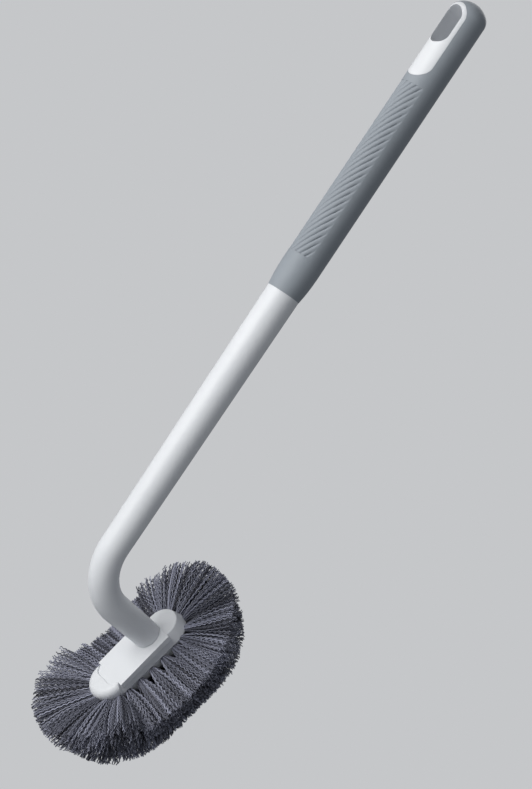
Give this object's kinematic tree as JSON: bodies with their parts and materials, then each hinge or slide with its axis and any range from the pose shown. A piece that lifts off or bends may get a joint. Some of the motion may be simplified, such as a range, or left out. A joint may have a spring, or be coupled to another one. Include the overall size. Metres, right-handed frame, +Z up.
{
  "type": "toilet brush",
  "caption": "Long handled toilet brush with a ribbed grip, a hanging slot, a neck bent through about eighty degrees and a boat shaped head with bristles splayed all round.",
  "frame": {"origin": "middle of the hanging slot, on the axis of the handle", "axes": "+Z up the handle towards the domed top, +X to the side the head sticks out to (the slot panel is on -X), +Y to the left of the head"},
  "size_m": [0.1181, 0.0904, 0.4618],
  "materials": {
    "white_plastic": "satin moulded",
    "grip_rubber": "soft matte",
    "panel_plastic": "satin moulded",
    "bristle": "crimped filament",
    "steel": "plain",
    "brass": "drawn wire"
  },
  "bodies": {
    "root": {"handle": "white_plastic", "grip": "grip_rubber", "slot_panel": "panel_plastic", "neck_plate": "white_plastic", "neck_screw": "steel", "head_block": "white_plastic", "anchors_side": "brass", "anchors_shoulder": "brass", "anchors_sole": "brass", "side_left": "bristle", "side_right": "bristle", "side_toe": "bristle", "side_heel": "bristle", "shoulder_left": "bristle", "shoulder_right": "bristle", "shoulder_toe": "bristle", "shoulder_heel": "bristle", "lower_left": "bristle", "lower_right": "bristle", "lower_toe": "bristle", "lower_heel": "bristle", "sole": "bristle"}
  },
  "joints": []
}
